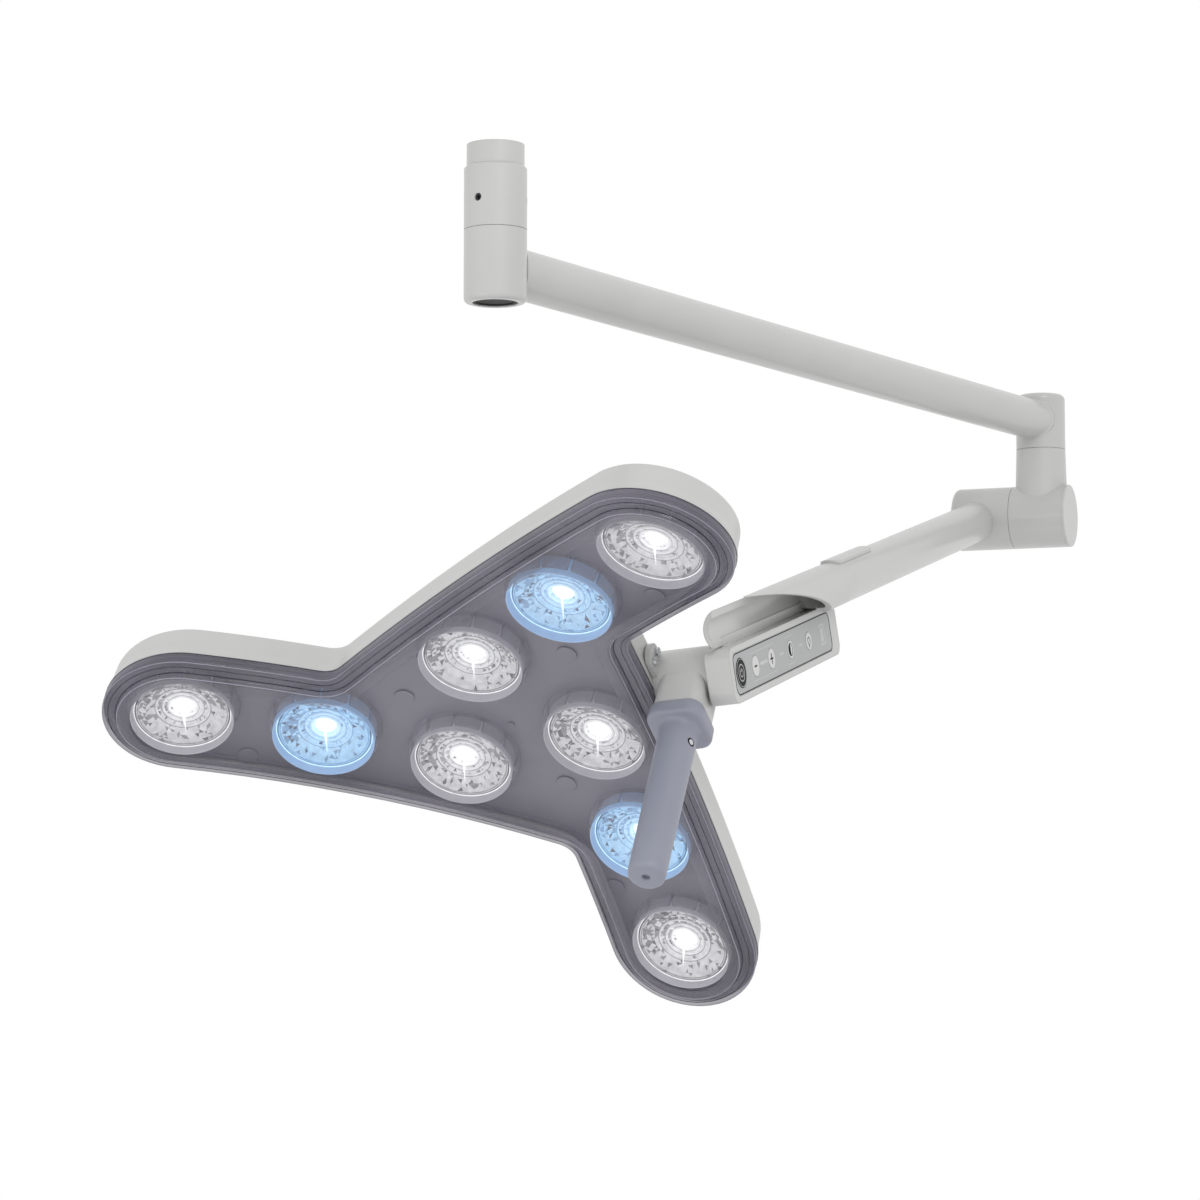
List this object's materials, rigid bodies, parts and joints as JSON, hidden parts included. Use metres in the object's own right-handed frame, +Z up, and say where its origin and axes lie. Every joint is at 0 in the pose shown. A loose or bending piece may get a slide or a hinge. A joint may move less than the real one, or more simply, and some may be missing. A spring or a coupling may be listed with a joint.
{
  "type": "surgical light",
  "caption": "Ceiling-mounted surgical light: swivelling extension arm, balanced arm with a control bar, and a tilting three-armed head with lamp modules and a pull-off grip.",
  "frame": {"origin": "centre of the ceiling tube's upper end, where the ceiling fitting clamps it", "axes": "+Z up along the ceiling tube and the ceiling swivel axis, +X along the extension arm at rest"},
  "size_m": [1.1213, 0.6374, 0.7234],
  "materials": {
    "white_paint": "satin paint",
    "white_casting": "satin paint",
    "steel": "machined",
    "black_steel": "blackened",
    "bronze": "machined",
    "dark_plastic": "satin",
    "circuit_board": "satin",
    "keypad_film": "satin film",
    "key_plastic": "satin",
    "indicator": "gloss",
    "seal_rubber": "matt",
    "clear_cover": "clear gloss",
    "carrier_grey": "satin",
    "frosted_clear": "frosted",
    "mirror": "polished",
    "heat_sink": "satin",
    "lens_white": "clear gloss, lit",
    "lens_blue": "clear gloss, lit",
    "grip_plastic": "satin"
  },
  "bodies": {
    "ceiling_mount": {"drop_tube": "white_paint", "drop_socket": "white_paint", "socket_screws": "black_steel", "ceiling_spindle": "steel", "ceiling_nut": "steel"},
    "extension_arm": {"swivel_housing": "white_paint", "extension_tube": "white_paint", "elbow_head": "white_paint", "ceiling_bushes": "bronze", "swivel_cap": "dark_plastic", "elbow_spindle": "steel", "elbow_nut": "steel"},
    "knuckle": {"knuckle": "white_paint", "elbow_bushes": "bronze", "knuckle_cap": "white_paint", "lift_shaft": "steel"},
    "balanced_arm": {"lift_hub": "white_paint", "lift_bushes": "bronze", "brake_disc": "dark_plastic", "spring_arm_tube": "white_paint", "balance_spring": "steel", "spring_rod": "steel", "spring_stop": "steel", "spring_adjuster": "bronze", "adjuster_cover": "white_casting", "yoke": "white_casting", "tilt_bush": "bronze", "control_board": "circuit_board", "keypad": "keypad_film", "level_lights": "indicator"},
    "head": {"head_bracket": "white_casting", "tilt_shaft": "steel", "tilt_nut": "steel", "grip_spigot": "steel", "rear_housing": "white_casting", "cover_seal": "seal_rubber", "front_cover": "clear_cover", "carrier_plate": "carrier_grey", "screw_covers": "carrier_grey", "housing_screws": "steel", "lamp_bezels": "frosted_clear", "lamp_reflectors": "mirror", "lamp_boards": "heat_sink", "driver_board": "circuit_board", "lens_1": "lens_white", "lens_2": "lens_blue", "lens_3": "lens_white", "lens_4": "lens_white", "lens_5": "lens_blue", "lens_6": "lens_white", "lens_7": "lens_white", "lens_8": "lens_blue", "lens_9": "lens_white"},
    "grip": {"grip": "grip_plastic"},
    "grip_latch": {"grip_latch": "steel"},
    "power_key": {"power_key": "dark_plastic"},
    "minus_key": {"minus_key": "key_plastic"},
    "plus_key": {"plus_key": "key_plastic"},
    "mode_key": {"mode_key": "key_plastic"},
    "lamp_key": {"lamp_key": "key_plastic"}
  },
  "joints": [
    {"name": "ceiling_swivel", "type": "hinge", "parent": "ceiling_mount", "child": "extension_arm", "pos_m": [0, 0, -0.103], "axis": [0, 0, 1], "continuous": true},
    {"name": "elbow_swivel", "type": "hinge", "parent": "extension_arm", "child": "knuckle", "pos_m": [1.056, 0, -0.134], "axis": [0, 0, 1], "range_deg": [-170, 170]},
    {"name": "arm_lift", "type": "hinge", "parent": "knuckle", "child": "balanced_arm", "pos_m": [1.056, 0, -0.2064], "axis": [0.1977, -0.9803, 0], "range_deg": [-8, 45]},
    {"name": "head_tilt", "type": "hinge", "parent": "balanced_arm", "child": "head", "pos_m": [0.23798, -0.07415, -0.42996], "axis": [0.179, -0.9803, 0.0834], "range_deg": [-55, 80]},
    {"name": "grip_pull", "type": "slide", "parent": "head", "child": "grip", "axis": [-0.6216, -0.1784, -0.7627], "range_m": [0, 0.118]},
    {"name": "latch_press", "type": "slide", "parent": "grip", "child": "grip_latch", "axis": [0.0587, 0.9604, -0.2724], "range_m": [0, 0.002], "stiffness_N_per_m": 800},
    {"name": "power_press", "type": "slide", "parent": "balanced_arm", "child": "power_key", "axis": [-0.179, 0.9803, -0.0834], "range_m": [0, 0.0005], "stiffness_N_per_m": 900},
    {"name": "minus_press", "type": "slide", "parent": "balanced_arm", "child": "minus_key", "axis": [-0.179, 0.9803, -0.0834], "range_m": [0, 0.0005], "stiffness_N_per_m": 900},
    {"name": "plus_press", "type": "slide", "parent": "balanced_arm", "child": "plus_key", "axis": [-0.179, 0.9803, -0.0834], "range_m": [0, 0.0005], "stiffness_N_per_m": 900},
    {"name": "mode_press", "type": "slide", "parent": "balanced_arm", "child": "mode_key", "axis": [-0.179, 0.9803, -0.0834], "range_m": [0, 0.0005], "stiffness_N_per_m": 900},
    {"name": "lamp_press", "type": "slide", "parent": "balanced_arm", "child": "lamp_key", "axis": [-0.179, 0.9803, -0.0834], "range_m": [0, 0.0005], "stiffness_N_per_m": 900}
  ]
}
